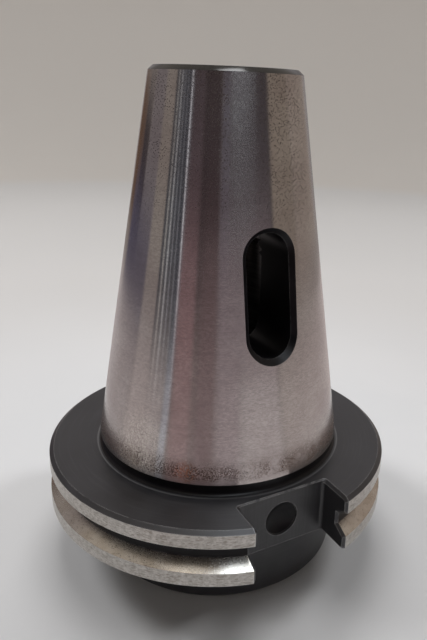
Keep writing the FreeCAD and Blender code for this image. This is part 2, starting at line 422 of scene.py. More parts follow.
black_oxide = black_finish(
    "black_oxide", dark=(0.015, 0.0145, 0.017, 1.0), light=(0.022, 0.0215, 0.0245, 1.0),
    specular=0.70, roughness=0.30, wear_and_highlight_amount=0.75,
)

# In the slots, the neck and the groove's root and upper flank the skin is painted blacker and less shiny: painted
# shade in these recesses.
painted_shade_black = black_finish(
    "painted_shade_black", dark=(0.004, 0.0035, 0.0045, 1.0), light=(0.008, 0.007, 0.0085, 1.0),
    specular=0.2, roughness=0.22, wear_and_highlight_amount=0.25,
)

# Round the small end the skin is rubbed smooth.
smooth_black = black_finish(
    "smooth_black", dark=(0.006, 0.006, 0.0065, 1.0), light=(0.011, 0.011, 0.0115, 1.0),
    specular=0.6, roughness=0.08, wear_and_highlight_amount=0.06,
)

# Bored socket and pilot: bright but oily, with the marks of the boring tool.
bored_steel, tree, shader, spot = new_finish("bored_steel", 1.0, 0.6)
BORED_DARK = (0.20, 0.19, 0.18, 1.0)
BORED_PALE = (0.34, 0.33, 0.31, 1.0)
grain = lines_at(tree, spot, 3.0, 0.05)
put(tree, blend(tree, grain.ramp(0.3, 0.7), BORED_DARK, BORED_PALE), shader.inputs["Base Color"])
put(tree, grain * 0.12 + 0.30, shader.inputs["Roughness"])
bump(tree, shader, grain, 0.01 * MM)

# Tapped thread: darker, with a random mottle of darker and paler steel.
tapped_steel, tree, shader, spot = new_finish("tapped_steel", 1.0, 0.0)
TAPPED_DARK = (0.16, 0.145, 0.135, 1.0)
TAPPED_PALE = (0.30, 0.28, 0.26, 1.0)
mottle = noise(tree, spot, 0.6 / MM, 4.0)
put(tree, blend(tree, mottle.ramp(0.35, 0.65), TAPPED_DARK, TAPPED_PALE), shader.inputs["Base Color"])
put(tree, mottle * 0.25 + 0.25, shader.inputs["Roughness"])
bump(tree, shader, mottle, 0.01 * MM)

# Turned blank
# The whole adapter turned from one bar: shank, relief neck, grooved flange and nose outside, and inside the taper
# socket, the bore that clears the tang, the tapping bore and the pilot. Its section is turned round the axis.
STEEP_TAPER = 7 / 24
SOCKET_TAPER = 0.62326 / 12
DRILL_POINT = math.radians(118.0)
BLANK_MM = {
    "Gage Diameter": 69.85,
    "Shank Length": 101.6,
    "Nose Length": 34.925,
    "Nose Diameter": 69.85,
    "Flange Diameter": 98.425,
    "Flange Back Gap": 3.175,
    "Flange Front Gap": 19.05,
    "Groove Gap": 11.113,
    "Groove Mouth": 7.03,
    "Groove Flat": 3.0,
    "Neck Step": 0.6,
    "Neck Lead": 0.35,
    "Bevel Along": 0.85,
    "Bevel Across": 1.2,
    "Small End Chamfer": 1.2,
    "Nose Chamfer": 1.4,
    "Socket Mouth Chamfer": 1.0,
    "Socket Mouth Radius": (31.267 - SOCKET_TAPER * 32.43) / 2,
    "Plug End Level": 70.76,
    "Tang Bore Diameter": 25.4,
    "Tang End Level": 88.05,
    "Tapping Diameter": 22.2,
    "Pilot Diameter": 26.19,
    "Pilot Depth": 4.8,
    "Pilot Mouth Chamfer": 1.5,
}
GROOVE_SLOPE = math.radians(30.0)
NECK_FILLET = 1.1 * MM
NOSE_FILLET = 1.5 * MM
EDGE_BREAK = 0.12 * MM
FILLET_POINTS = 3.0
FILLET_POINTS_PER_MM = 3.0
TURNED_SEGMENTS = 480
WELD = 0.001 * MM
size = {name: value * MM for name, value in BLANK_MM.items()}


def section_corners(take):
    """Corners of the section as (radius, level, rounding): down the outside from the small end, then up inside."""
    gage_r = take("Gage Diameter") / 2
    gage_z = take("Nose Length")
    end_z = gage_z + take("Shank Length")
    end_r = gage_r - take("Shank Length") * (STEEP_TAPER / 2)
    chamfer = take("Small End Chamfer")
    neck_r = gage_r - take("Neck Step")
    back_z = gage_z - take("Flange Back Gap")
    front_z = gage_z - take("Flange Front Gap")
    flange_r = take("Flange Diameter") / 2
    bevel_r = flange_r - take("Bevel Across")
    groove_z = gage_z - take("Groove Gap")
    mouth = take("Groove Mouth") / 2
    flat = take("Groove Flat") / 2
    root_r = flange_r - (mouth - flat) / math.tan(GROOVE_SLOPE)
    nose_z = 0.0
    nose_r = take("Nose Diameter") / 2
    nose_chamfer = take("Nose Chamfer")
    socket_r = take("Socket Mouth Radius")
    lead = take("Socket Mouth Chamfer")
    plug_z = take("Plug End Level")
    tang_r = take("Tang Bore Diameter") / 2
    tang_z = take("Tang End Level")
    tap_r = take("Tapping Diameter") / 2
    pilot_r = take("Pilot Diameter") / 2
    step_z = end_z - take("Pilot Depth")
    pilot_lead = take("Pilot Mouth Chamfer")
    return [
        (end_r - chamfer, end_z, EDGE_BREAK),
        (end_r + chamfer * (STEEP_TAPER / 2), end_z - chamfer, EDGE_BREAK),
        (gage_r, gage_z, EDGE_BREAK / 2),
        (neck_r, gage_z - take("Neck Lead"), 0.0),
        (neck_r, back_z, NECK_FILLET),
        (bevel_r, back_z, EDGE_BREAK),
        (flange_r, back_z - take("Bevel Along"), EDGE_BREAK),
        (flange_r, groove_z + mouth, EDGE_BREAK),
        (root_r, groove_z + flat, EDGE_BREAK),
        (root_r, groove_z - flat, EDGE_BREAK),
        (flange_r, groove_z - mouth, EDGE_BREAK),
        (flange_r, front_z + take("Bevel Along"), EDGE_BREAK),
        (bevel_r, front_z, EDGE_BREAK),
        (nose_r, front_z, NOSE_FILLET),
        (nose_r, nose_chamfer, EDGE_BREAK),
        (nose_r - nose_chamfer, nose_z, EDGE_BREAK),
        (socket_r + lead, nose_z, EDGE_BREAK),
        (socket_r - lead * (SOCKET_TAPER / 2), lead, EDGE_BREAK),
        (socket_r - plug_z * (SOCKET_TAPER / 2), plug_z, 0.0),
        (tang_r, plug_z, 0.0),
        (tang_r, tang_z, 0.0),
        (tap_r, tang_z + (tang_r - tap_r) / math.tan(DRILL_POINT / 2), 0.0),
        (tap_r, step_z - (pilot_r - tap_r), 0.0),
        (pilot_r, step_z, 0.0),
        (pilot_r, end_z - pilot_lead, EDGE_BREAK),
        (pilot_r + pilot_lead, end_z, EDGE_BREAK),
    ]


def index_switch(tree, kind, values):
    """Field that takes a value for each corner of the section by its index."""
    node = tree.nodes.new("GeometryNodeIndexSwitch")
    node.data_type = kind
    while len(node.index_switch_items) < len(values):
        node.index_switch_items.new()
    tree.links.new(tree.nodes.new("GeometryNodeInputIndex").outputs[0], node.inputs["Index"])
    for place, value in enumerate(values, 1):
        put(tree, value, node.inputs[place])
    return node.outputs[0]


blank_tree = bpy.data.node_groups.new("turned blank", "GeometryNodeTree")
blank_tree.interface.new_socket("Geometry", in_out="INPUT", socket_type="NodeSocketGeometry")
for name in size:
    blank_tree.interface.new_socket(name, in_out="INPUT", socket_type="NodeSocketFloat")
blank_tree.interface.new_socket("Segments", in_out="INPUT", socket_type="NodeSocketInt")
blank_tree.interface.new_socket("Geometry", in_out="OUTPUT", socket_type="NodeSocketGeometry")
blank_in = blank_tree.nodes.new("NodeGroupInput")
blank_out = blank_tree.nodes.new("NodeGroupOutput")


def blank_node(kind, **values):
    """Node in the blank's tree, with values or links for its named inputs."""
    node = blank_tree.nodes.new(kind)
    for socket_name, value in values.items():
        put(blank_tree, value, node.inputs[socket_name.replace("_", " ")])
    return node


corners = section_corners(lambda name: Reading(blank_tree, blank_in.outputs[name]))
places = []
for radius, corner_level, rounding in corners:
    places.append(blank_node("ShaderNodeCombineXYZ", X=radius, Z=corner_level).outputs[0])
line = blank_node("GeometryNodeCurvePrimitiveLine")
spaced = blank_node("GeometryNodeResampleCurve", Curve=line.outputs[0], Count=len(corners))
corner_places = index_switch(blank_tree, "VECTOR", places)
section = blank_node("GeometryNodeSetPosition", Geometry=spaced.outputs[0], Position=corner_places)
closed = blank_node("GeometryNodeSetSplineCyclic", Geometry=section.outputs[0], Cyclic=True)
rounding = Reading(blank_tree, index_switch(blank_tree, "FLOAT", [corner[2] for corner in corners]))
fillet = blank_node("GeometryNodeFilletCurve", Curve=closed.outputs[0], Radius=rounding)
fillet.mode = "POLY"
put(blank_tree, rounding * (FILLET_POINTS_PER_MM / MM) + FILLET_POINTS, fillet.inputs["Count"])
point_count = blank_node("GeometryNodeAttributeDomainSize", Geometry=fillet.outputs[0])
point_count.component = "CURVE"
rows = Reading(blank_tree, point_count.outputs["Point Count"])
segments = Reading(blank_tree, blank_in.outputs["Segments"])
grid = blank_node(
    "GeometryNodeMeshGrid", Size_X=segments, Size_Y=rows, Vertices_X=segments + 1.0, Vertices_Y=rows + 1.0,
)
spread = blank_node("ShaderNodeSeparateXYZ", Vector=blank_node("GeometryNodeInputPosition").outputs[0])
column = Reading(blank_tree, spread.outputs["X"]) + segments / 2.0
row = ((Reading(blank_tree, spread.outputs["Y"]) + rows / 2.0).into("ROUND")).into("MODULO", rows)
sample = blank_node("GeometryNodeSampleIndex", Geometry=fillet.outputs[0], Index=row)
sample.data_type = "FLOAT_VECTOR"
put(blank_tree, blank_node("GeometryNodeInputPosition").outputs[0], sample.inputs["Value"])
taken = blank_node("ShaderNodeSeparateXYZ", Vector=sample.outputs[0])
radius = Reading(blank_tree, taken.outputs["X"])
angle = column * (2 * math.pi) / segments
turned_x = radius * angle.into("COSINE")
turned_y = radius * angle.into("SINE")
around = blank_node("ShaderNodeCombineXYZ", X=turned_x, Y=turned_y, Z=taken.outputs["Z"])
wrapped = blank_node("GeometryNodeSetPosition", Geometry=grid.outputs["Mesh"], Position=around.outputs[0])
welded = blank_node("GeometryNodeMergeByDistance", Geometry=wrapped.outputs[0], Distance=WELD)
flesh = blank_node("GeometryNodeRealizeInstances", Geometry=welded.outputs[0])

# Each finish is set on the faces of its own stretch. The wall's middle parts the outside from the bores, and a
# face counts as past an edge when its middle is a hair past it.
WALL_MIDDLE = 17.5 * MM
HAIR = 0.1 * MM
here = blank_node("ShaderNodeSeparateXYZ", Vector=blank_node("GeometryNodeInputPosition").outputs[0])
x, y, level = (Reading(blank_tree, here.outputs[axis]) for axis in "XYZ")
from_axis = (x * x + y * y).into("SQRT")
gage_z = Reading(blank_tree, blank_in.outputs["Nose Length"])
end_z = gage_z + Reading(blank_tree, blank_in.outputs["Shank Length"])
flange_r = Reading(blank_tree, blank_in.outputs["Flange Diameter"]) / 2.0
groove_z = gage_z - Reading(blank_tree, blank_in.outputs["Groove Gap"])
groove_flat = Reading(blank_tree, blank_in.outputs["Groove Flat"]) / 2.0
groove_mouth = Reading(blank_tree, blank_in.outputs["Groove Mouth"]) / 2.0
back_z = gage_z - Reading(blank_tree, blank_in.outputs["Flange Back Gap"])
shank_top = end_z - Reading(blank_tree, blank_in.outputs["Small End Chamfer"])
outside = from_axis.above(WALL_MIDDLE)
on_lead = outside * level.above(shank_top - HAIR / 2) * level.below(end_z - HAIR / 2)
on_shank = outside * level.above(gage_z - HAIR) * level.below(shank_top - HAIR / 2)
on_neck = outside * level.above(back_z + HAIR / 2) * level.below(gage_z - HAIR)
on_rim = from_axis.above(flange_r - HAIR / 4)
in_groove = (
    from_axis.above(flange_r - groove_mouth * 2.0) * from_axis.below(flange_r - HAIR / 4)
    * level.above(groove_z - groove_mouth - HAIR) * level.below(groove_z + groove_mouth + HAIR)
)
on_flank = in_groove * level.below(groove_z - groove_flat - HAIR / 2)
in_bore = from_axis.below(WALL_MIDDLE) * level.below(end_z - HAIR / 2) * level.above(HAIR / 2)
finished = blank_node("GeometryNodeSetMaterial", Geometry=flesh.outputs[0], Material=black_oxide)
# The neck and the groove, all but its lower flank, take the painted shade black.
stretches = (
    (on_shank, ground_steel),
    (on_lead, smooth_black),
    (on_neck, painted_shade_black),
    (on_rim, rim_steel),
    (in_groove, painted_shade_black),
    (on_flank, flank_steel),
    (in_bore, bored_steel),
)
for chosen, finish in stretches:
    finished = blank_node("GeometryNodeSetMaterial", Geometry=finished.outputs[0], Selection=chosen, Material=finish)
put(blank_tree, finished.outputs[0], blank_out.inputs[0])


def new_piece(name, mesh):
    piece = bpy.data.objects.new(name, mesh)
    scene.collection.objects.link(piece)
    return piece


def made_plain(piece):
    """Replaces what the modifiers make by a plain mesh, and removes them."""
    depsgraph = bpy.context.evaluated_depsgraph_get()
    mesh = bpy.data.meshes.new_from_object(piece.evaluated_get(depsgraph))
    piece.modifiers.clear()
    piece.data = mesh


def grown_from_tree(name, tree, values):
    """New plain mesh object from a geometry node tree with these input values."""
    piece = new_piece(name, bpy.data.meshes.new(name))
    modifier = piece.modifiers.new(name, "NODES")
    modifier.node_group = tree
    for item in tree.interface.items_tree:
        if item.in_out == "INPUT" and item.name in values:
            modifier[item.identifier] = values[item.name]
    made_plain(piece)
    return piece


adapter = grown_from_tree("adapter", blank_tree, {**size, "Segments": TURNED_SEGMENTS})


def point_outwards(mesh):
    """Turns all faces of closed shells outwards."""
    shells = bmesh.new()
    shells.from_mesh(mesh)
    bmesh.ops.recalc_face_normals(shells, faces=shells.faces)
    shells.to_mesh(mesh)
    shells.free()


point_outwards(adapter.data)

# Where the cuts go: levels and radii of the blank.
GAGE_R = size["Gage Diameter"] / 2
GAGE_Z = size["Nose Length"]
END_Z = GAGE_Z + size["Shank Length"]
BACK_Z = GAGE_Z - size["Flange Back Gap"]
FRONT_Z = GAGE_Z - size["Flange Front Gap"]


def shank_radius(level):
    return GAGE_R - STEEP_TAPER / 2 * (level - GAGE_Z)


def lofted(name, rings, first_tip, last_tip, finish):
    """Closed cutter through rings of equally many points, with its ends drawn to a tip each."""
    shape = bmesh.new()
    rows = [[shape.verts.new(point) for point in ring] for ring in rings]
    for low, high in zip(rows, rows[1:]):
        for place in range(len(low)):
            after = (place + 1) % len(low)
            shape.faces.new((low[place], low[after], high[after], high[place]))
    for ring, tip in ((rows[0], first_tip), (rows[-1], last_tip)):
        top = shape.verts.new(tip)
        for place in range(len(ring)):
            shape.faces.new((ring[place], ring[(place + 1) % len(ring)], top))
    bmesh.ops.recalc_face_normals(shape, faces=shape.faces)
    mesh = bpy.data.meshes.new(name)
    shape.to_mesh(mesh)
    shape.free()
    mesh.materials.append(finish)
    return mesh


def cut(piece, meshes):
    """Cuts the joined solids out of the piece. The cut faces keep the cutters' finishes."""
    shape = bmesh.new()
    finishes = []
    for mesh in meshes:
        start = len(shape.faces)
        shape.from_mesh(mesh)
        shape.faces.ensure_lookup_table()
        finish = mesh.materials[0]
        if finish not in finishes:
            finishes.append(finish)
        for face in shape.faces[start:]:
            face.material_index = finishes.index(finish)
    joined = bpy.data.meshes.new("cutter")
    shape.to_mesh(joined)
    shape.free()
    for finish in finishes:
        joined.materials.append(finish)
    cutter = new_piece("cutter", joined)
    modifier = piece.modifiers.new("cut", "BOOLEAN")
    modifier.operation = "DIFFERENCE"
    modifier.solver = "EXACT"
    modifier.material_mode = "TRANSFER"
    modifier.object = cutter
    made_plain(piece)
    bpy.data.objects.remove(cutter)


# Drift slot
# A slot milled right across the shank into the tang's bore, with round ends and a broad chamfer that follows the
# taper at both mouths. A drift driven through it pushes the tool out.
SLOT_LOW = 66.0 * MM
SLOT_LENGTH = 31.75 * MM
SLOT_WIDTH = 12.29 * MM
SLOT_CHAMFER = 1.4 * MM
SLOT_ARC_STEPS = 48
SLOT_OVERRUN = 0.6
SLOT_TIP = 8 * MM


def slot_outline(grow):
    """Points of the obround as (x, level), grown outwards by a distance."""
    r = SLOT_WIDTH / 2
    points = []
    for centre, start in ((SLOT_LOW + SLOT_LENGTH - r, 0.0), (SLOT_LOW + r, math.pi)):
        for step in range(SLOT_ARC_STEPS + 1):
            turn = start + math.pi * step / SLOT_ARC_STEPS
            points.append(((r + grow) * math.cos(turn), centre + (r + grow) * math.sin(turn)))
    return points


def on_shank_side(x, level, side, depth):
    """Point on the taper above (x, level), sunk towards the axis by a depth."""
    return Vector((x, side * (math.sqrt(shank_radius(level) ** 2 - x * x) - depth), level))


def slot_mouth(side):
    """The chamfer's inner ring on the wall, and its outer ring carried on past the taper."""
    inner = [on_shank_side(x, level, side, SLOT_CHAMFER) for x, level in slot_outline(0.0)]
    outer = [on_shank_side(x, level, side, 0.0) for x, level in slot_outline(SLOT_CHAMFER)]
    past = [far + (far - near) * SLOT_OVERRUN for near, far in zip(inner, outer)]
    return inner, past


front_inner, front_past = slot_mouth(-1)
rear_inner, rear_past = slot_mouth(1)
slot_middle = SLOT_LOW + SLOT_LENGTH / 2
drift_slot = lofted(
    "drift_slot",
    [front_past, front_inner, rear_inner, rear_past],
    (0.0, -shank_radius(SLOT_LOW) - SLOT_TIP, slot_middle),
    (0.0, shank_radius(SLOT_LOW) + SLOT_TIP, slot_middle),
    # The slot's walls take the painted shade black.
    painted_shade_black,
)

# Drive key slots
# Two slots milled across the flange, opposite each other, for the keys of the spindle. Their walls have a broad
# edge break that also runs down the rim and through the groove, and their floors a fine one.
KEY_HALF_WIDTH = 25.91 / 2 * MM
KEY_FLOOR = 37.05 * MM
KEY_CORNER = 1.0 * MM
WALL_BREAK = 0.802 * MM
FLOOR_BREAK = 0.3 * MM
KEY_REACH = 60.0 * MM
KEY_OVERRUN = 0.5 * MM
CORNER_STEPS = 6
RIM_SPARE = 0.2 * MM
RIM_OVERRUN = 0.5
FLANGE_CORNERS = slice(5, 13)


def key_ring(level, wall_grow, floor_grow, side):
    """Outline of a key slot at a level: open outwards, with rounded corners at the floor."""
    half = KEY_HALF_WIDTH + wall_grow
    floor = KEY_FLOOR - floor_grow
    points = [(-half, KEY_REACH), (half, KEY_REACH)]
    for centre, start in ((half - KEY_CORNER, 0.0), (KEY_CORNER - half, math.pi / 2)):
        for step in range(CORNER_STEPS + 1):
            turn = start + math.pi / 2 * step / CORNER_STEPS
            points.append((centre + KEY_CORNER * math.cos(turn), floor + KEY_CORNER - KEY_CORNER * math.sin(turn)))
    return [Vector((x, side * y, level)) for x, y in points]


def key_slot(side):
    """Cutter of one key slot, flared at the flange's two faces by the edge breaks."""
    flare = [
        (-KEY_OVERRUN, WALL_BREAK + KEY_OVERRUN, FLOOR_BREAK + KEY_OVERRUN),
        (FLOOR_BREAK, WALL_BREAK - FLOOR_BREAK, 0.0),
        (WALL_BREAK, 0.0, 0.0),
    ]
    rings = [key_ring(FRONT_Z + rise, wall, floor, side) for rise, wall, floor in flare]
    rings += [key_ring(BACK_Z - rise, wall, floor, side) for rise, wall, floor in reversed(flare)]
    tips = [sum(ring, Vector()) / len(ring) for ring in (rings[0], rings[-1])]
    return lofted("key_slot", rings, tips[0], tips[1], black_oxide)


def rim_break(side, hand):
    """Cutter of the edge break where a key slot's wall meets the bevels, the rims and the groove."""
    outline = [(radius, level) for radius, level, rounding in section_corners(size.get)[FLANGE_CORNERS]]

    def across(x):
        """The flange's outline in the plane of this x, as (distance along y, level), with its ends carried on."""
        points = [Vector((math.sqrt(radius * radius - x * x), level)) for radius, level in outline]
        points[0] += (points[0] - points[1]) * RIM_OVERRUN
        points[-1] += (points[-1] - points[-2]) * RIM_OVERRUN
        return points

    def sunk(points, depth):
        """The outline moved into the metal by a depth, with mitred corners."""
        normals = []
        for a, b in zip(points, points[1:]):
            run = (b - a).normalized()
            normals.append(Vector((run.y, -run.x)) * (1 if run.y < 0 else -1))
        moved = []
        for place, point in enumerate(points):
            before = normals[max(place - 1, 0)]
            after = normals[min(place, len(normals) - 1)]
            moved.append(point + (before + after) / (1 + before.dot(after)) * depth)
        return moved

    near = KEY_HALF_WIDTH - RIM_SPARE
    far = KEY_HALF_WIDTH + WALL_BREAK + RIM_SPARE
    lines = [
        (near, sunk(across(KEY_HALF_WIDTH), WALL_BREAK + RIM_SPARE)),
        (far, sunk(across(KEY_HALF_WIDTH + WALL_BREAK), -RIM_SPARE)),
        (near, sunk(across(KEY_HALF_WIDTH), -RIM_SPARE)),
    ]
    rings = [
        [Vector((hand * x, side * line[place].x, line[place].y)) for x, line in lines]
        for place in range(len(outline))
    ]
    tips = [sum(ring, Vector()) / len(ring) for ring in (rings[0], rings[-1])]
    return lofted("rim_break", rings, tips[0], tips[1], black_oxide)


# Orientation dimple
# A shallow mark drilled into the floor of the front key slot, at the middle of the flange.
# By it the adapter is put into the spindle one way round.
DIMPLE_R = 4.7 * MM
DIMPLE_WALL = 0.4 * MM
DIMPLE_Z = (BACK_Z + FRONT_Z) / 2
DIMPLE_STEPS = 96
DIMPLE_LEAD = EDGE_BREAK * 3
DIMPLE_RISE = EDGE_BREAK * 2
DIMPLE_TIP = 2 * MM


def dimple_ring(radius, depth):
    turns = [2 * math.pi * step / DIMPLE_STEPS for step in range(DIMPLE_STEPS)]
    return [
        Vector((radius * math.cos(turn), depth - KEY_FLOOR, DIMPLE_Z + radius * math.sin(turn))) for turn in turns
    ]


dimple_point = DIMPLE_R / math.tan(DRILL_POINT / 2)
dimple = lofted(
    "dimple",
    [
        dimple_ring(DIMPLE_R + DIMPLE_LEAD, -DIMPLE_RISE),
        dimple_ring(DIMPLE_R, EDGE_BREAK),
        dimple_ring(DIMPLE_R, DIMPLE_WALL),
    ],
    (0.0, -KEY_FLOOR - DIMPLE_TIP, DIMPLE_Z),
    (0.0, DIMPLE_WALL + dimple_point - KEY_FLOOR, DIMPLE_Z),
    # The dimple takes the painted shade black.
    painted_shade_black,
)

# Retention knob's thread
# A coarse thread tapped into the small end, eight turns to the inch, which runs out into the tang's bore.
# The cutter is one tooth swept along a helix, a little deeper inward than the bore so that it leaves no sliver.
THREAD_PITCH = 3.175 * MM
THREAD_MAJOR_R = 12.65 * MM
THREAD_SPARE = 0.35 * MM
THREAD_FLAT_SHARE = 8.0
THREAD_FLANK = math.radians(30.0)
THREAD_TURN_STEPS = 64
THREAD_END = 2 * MM

thread_tree = bpy.data.node_groups.new("thread cutter", "GeometryNodeTree")
for name in ("Pitch", "Length", "Minor Radius", "Major Radius"):
    thread_tree.interface.new_socket(name, in_out="INPUT", socket_type="NodeSocketFloat")
thread_tree.interface.new_socket("Geometry", in_out="OUTPUT", socket_type="NodeSocketGeometry")
thread_in = thread_tree.nodes.new("NodeGroupInput")
thread_out = thread_tree.nodes.new("NodeGroupOutput")


def thread_node(kind, **values):
    node = thread_tree.nodes.new(kind)
    for socket_name, value in values.items():
        put(thread_tree, value, node.inputs[socket_name.replace("_", " ")])
    return node


pitch = Reading(thread_tree, thread_in.outputs["Pitch"])
length = Reading(thread_tree, thread_in.outputs["Length"])
minor = Reading(thread_tree, thread_in.outputs["Minor Radius"])
major = Reading(thread_tree, thread_in.outputs["Major Radius"])
depth = major - minor
middle = (major + minor) / 2.0
helix = thread_node(
    "GeometryNodeCurveSpiral", Resolution=THREAD_TURN_STEPS, Rotations=length / pitch, Height=length,
    Start_Radius=middle, End_Radius=middle,
)
upright = thread_node("GeometryNodeSetCurveNormal", Curve=helix.outputs[0])
upright.mode = "Z_UP"
tooth = thread_node("GeometryNodeCurvePrimitiveQuadrilateral", Height=depth)
tooth.mode = "TRAPEZOID"
tooth.inputs["Offset"].default_value = 0.0
put(thread_tree, pitch / THREAD_FLAT_SHARE, tooth.inputs["Top Width"])
root_width = pitch / THREAD_FLAT_SHARE + depth * (2 * math.tan(THREAD_FLANK))
put(thread_tree, root_width, tooth.inputs["Bottom Width"])
quarter_turn = (0.0, 0.0, math.radians(90.0))
turned_tooth = thread_node("GeometryNodeTransform", Geometry=tooth.outputs[0], Rotation=quarter_turn)
swept = thread_node(
    "GeometryNodeCurveToMesh", Curve=upright.outputs[0], Profile_Curve=turned_tooth.outputs[0], Fill_Caps=True,
)
swept_flesh = thread_node("GeometryNodeRealizeInstances", Geometry=swept.outputs[0])
swept_finish = thread_node("GeometryNodeSetMaterial", Geometry=swept_flesh.outputs[0], Material=tapped_steel)
put(thread_tree, swept_finish.outputs[0], thread_out.inputs[0])

THREAD_LOW = size["Tang End Level"] - THREAD_END
thread_values = {
    "Pitch": THREAD_PITCH,
    "Length": END_Z - THREAD_LOW - THREAD_END,
    "Minor Radius": size["Tapping Diameter"] / 2 - THREAD_SPARE,
    "Major Radius": THREAD_MAJOR_R,
}
thread_piece = grown_from_tree("thread_cutter", thread_tree, thread_values)
thread_cutter = thread_piece.data
thread_cutter.transform(Matrix.Translation((0.0, 0.0, THREAD_LOW)))
point_outwards(thread_cutter)
bpy.data.objects.remove(thread_piece)

# All cuts, then the finished piece
# The key slots come before what is cut into their walls and floors. Then the cut edges are welded, and the
# turned faces are shaded round, with sharp lines where the surface turns.
cut(adapter, [drift_slot, key_slot(-1), key_slot(1)])
cut(adapter, [rim_break(side, hand) for side in (-1, 1) for hand in (-1, 1)])
cut(adapter, [dimple, thread_cutter])

SHARP_TURN = math.radians(29.0)
FACE_AREA_WEIGHT = 100
finished_shape = bmesh.new()
finished_shape.from_mesh(adapter.data)
bmesh.ops.remove_doubles(finished_shape, verts=finished_shape.verts, dist=WELD / 2)
for face in finished_shape.faces:
    face.smooth = True
finished_shape.to_mesh(adapter.data)
finished_shape.free()
adapter.data.set_sharp_from_angle(angle=SHARP_TURN)
weighted = adapter.modifiers.new("weighted", "WEIGHTED_NORMAL")
weighted.keep_sharp = True
weighted.weight = FACE_AREA_WEIGHT
made_plain(adapter)

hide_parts("adapter_body")
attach(adapter, "root")

# Floor and backdrop
# A pale painted bench top that runs up into a pale wall all round, in one curve.
# It is a shade darker and warmer away from the adapter.
FLOOR_R = 0.75
COVE_R = 0.35
WALL_HEIGHT = 0.7
AROUND = 96
FLOOR_ROWS = 6
COVE_ROWS = 12
COVE_START = 0.1
NEAR_TO_FAR = (0.06, 0.28)
JOINT_SOFTNESS = 0.04
NEAR_TONES = (0.72, 0.715, 0.72, 1.0), (0.75, 0.74, 0.74, 1.0)
FAR_TONE = (0.62, 0.60, 0.585, 1.0)
WALL_TONE = (0.635, 0.595, 0.555, 1.0)


def spun(name, outline, material):
    """Object turned round the axis from (radius, level) places."""
    shape = bmesh.new()
    points = [shape.verts.new((radius, 0.0, level)) for radius, level in outline]
    lines = [shape.edges.new(pair) for pair in zip(points, points[1:])]
    bmesh.ops.spin(shape, geom=points + lines, axis=(0.0, 0.0, 1.0), angle=2 * math.pi, steps=AROUND, use_merge=True)
    bmesh.ops.remove_doubles(shape, verts=shape.verts, dist=WELD)
    for face in shape.faces:
        face.smooth = True
    mesh = bpy.data.meshes.new(name)
    shape.to_mesh(mesh)
    shape.free()
    mesh.materials.append(material)
    return new_piece(name, mesh)


bench_paint = bpy.data.materials.new("bench_paint")
bench_paint.use_nodes = True
tree = bench_paint.node_tree
shader = tree.nodes["Principled BSDF"]
spot = tree.nodes.new("ShaderNodeTexCoord").outputs["Object"]
smudge = noise(tree, spot, 9.0, 3.0)
floor_tone = blend(tree, smudge.ramp(0.3, 0.7), *NEAR_TONES)
split = tree.nodes.new("ShaderNodeSeparateXYZ")
tree.links.new(spot, split.inputs[0])
x, y = (Reading(tree, split.outputs[axis]) for axis in "XY")
radius = (x * x + y * y).into("SQRT")
floor_tone = blend(tree, radius.ramp(*NEAR_TO_FAR), floor_tone, FAR_TONE)
on_wall = radius.ramp(FLOOR_R - JOINT_SOFTNESS, FLOOR_R + JOINT_SOFTNESS)
put(tree, blend(tree, on_wall, floor_tone, WALL_TONE), shader.inputs["Base Color"])
put(tree, smudge * 0.1 + 0.5, shader.inputs["Roughness"])
shader.inputs["Specular IOR Level"].default_value = 0.25
bowl = [(FLOOR_R * step / FLOOR_ROWS, 0.0) for step in range(FLOOR_ROWS + 1)]
for turn in np.linspace(COVE_START, math.pi / 2, COVE_ROWS):
    bowl.append((FLOOR_R + COVE_R * math.sin(turn), COVE_R * (1 - math.cos(turn))))
bowl.append((FLOOR_R + COVE_R, WALL_HEIGHT))
spun("bench", bowl, bench_paint)

